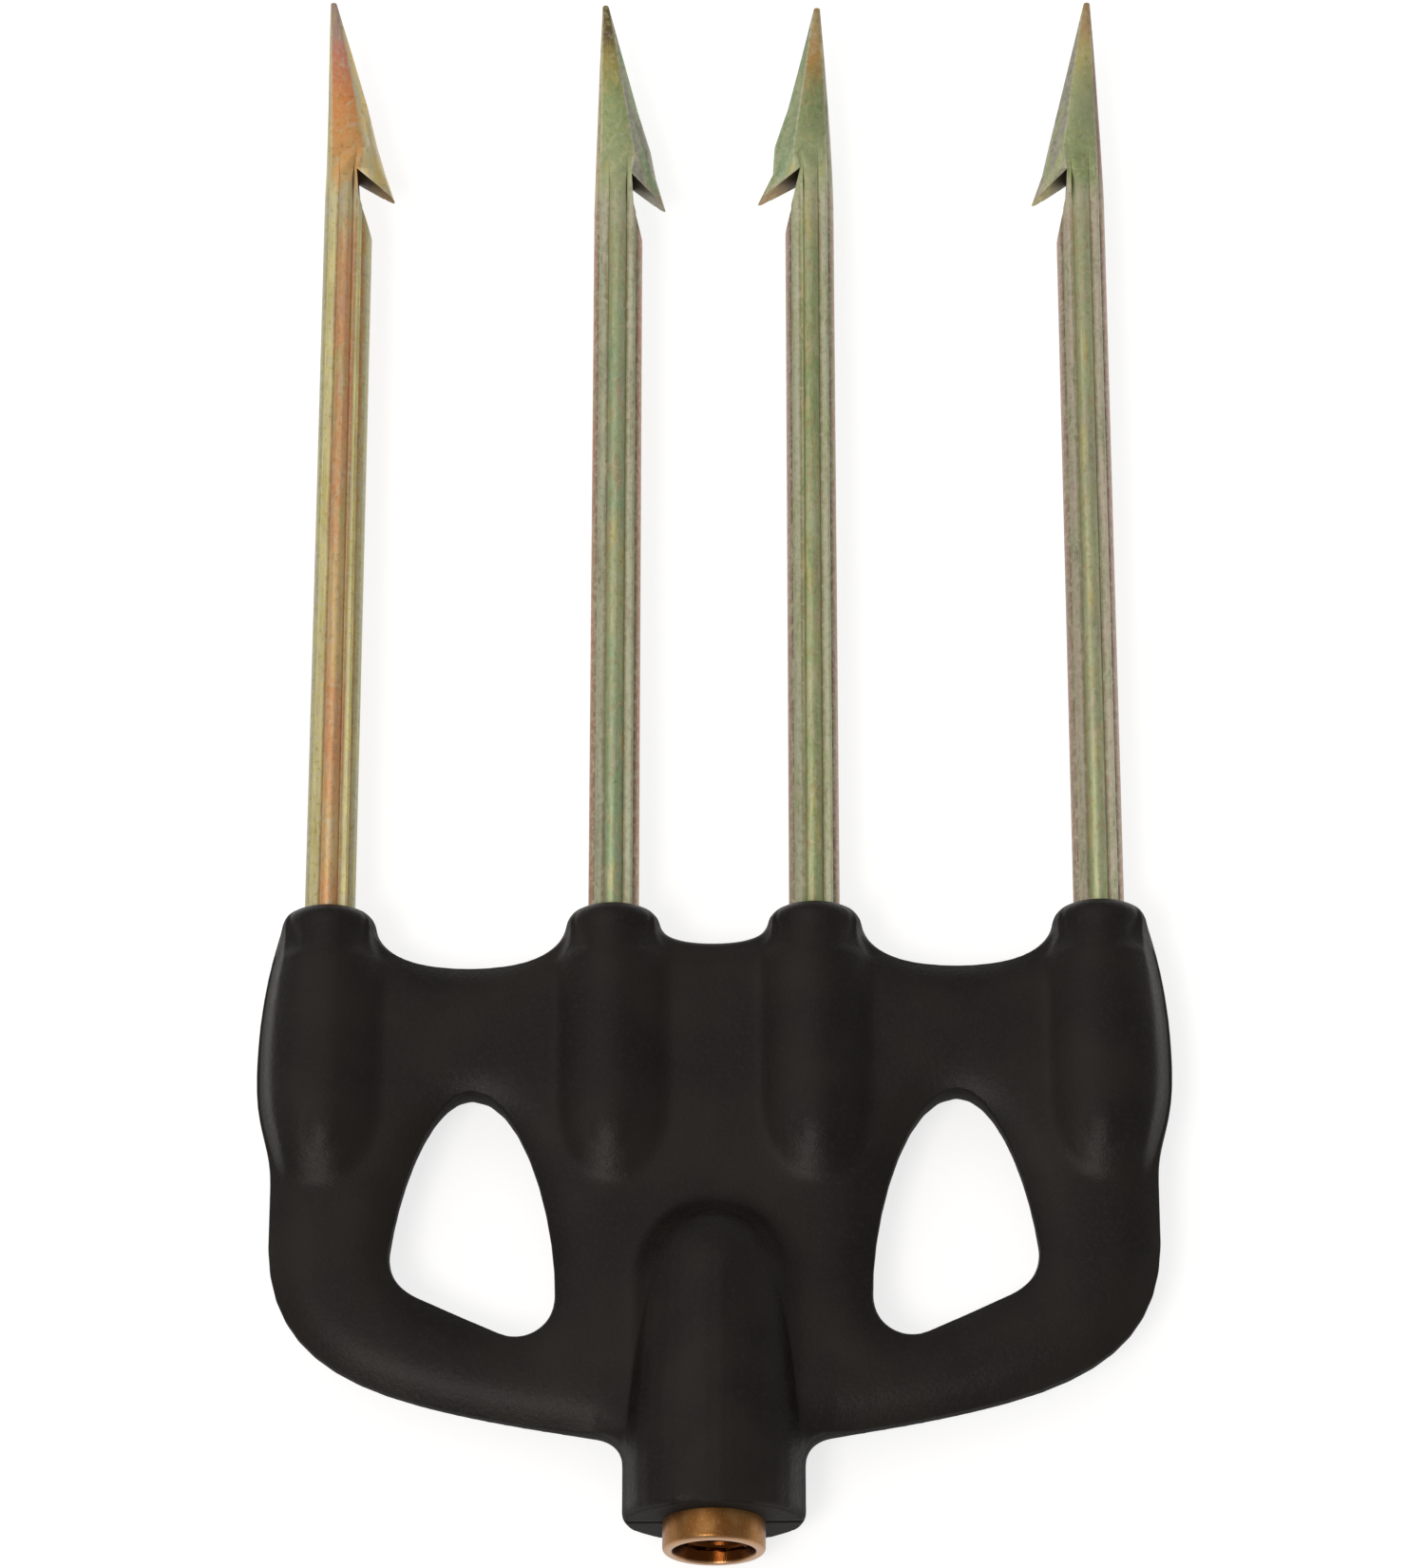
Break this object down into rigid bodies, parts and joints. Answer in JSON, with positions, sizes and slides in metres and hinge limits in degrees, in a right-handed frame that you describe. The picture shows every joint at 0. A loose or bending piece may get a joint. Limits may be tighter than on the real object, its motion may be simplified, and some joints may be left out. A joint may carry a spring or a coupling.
{
  "type": "barbed spear head",
  "caption": "Screw-on spear head: barbed fluted steel prongs and a threaded brass bush moulded into a flat nylon body with windows, for the end of a pole or spear shaft.",
  "frame": {"origin": "middle of the footprint of the head as it lies on its back, at the height of the boss's underside", "axes": "+Y along the prongs to the points, +X to the right of the front face, +Z out of the front face"},
  "size_m": [0.082, 0.1548, 0.0133],
  "materials": {
    "nylon": "fine spark-eroded grain, satin black",
    "brass": "turned, satin",
    "passivated_steel": "yellow passivated zinc plate, drawn and coined"
  },
  "bodies": {
    "root": {"body": "nylon", "threaded_bush": "brass", "prong_outer_left": "passivated_steel", "prong_inner_left": "passivated_steel", "prong_inner_right": "passivated_steel", "prong_outer_right": "passivated_steel"}
  },
  "joints": []
}
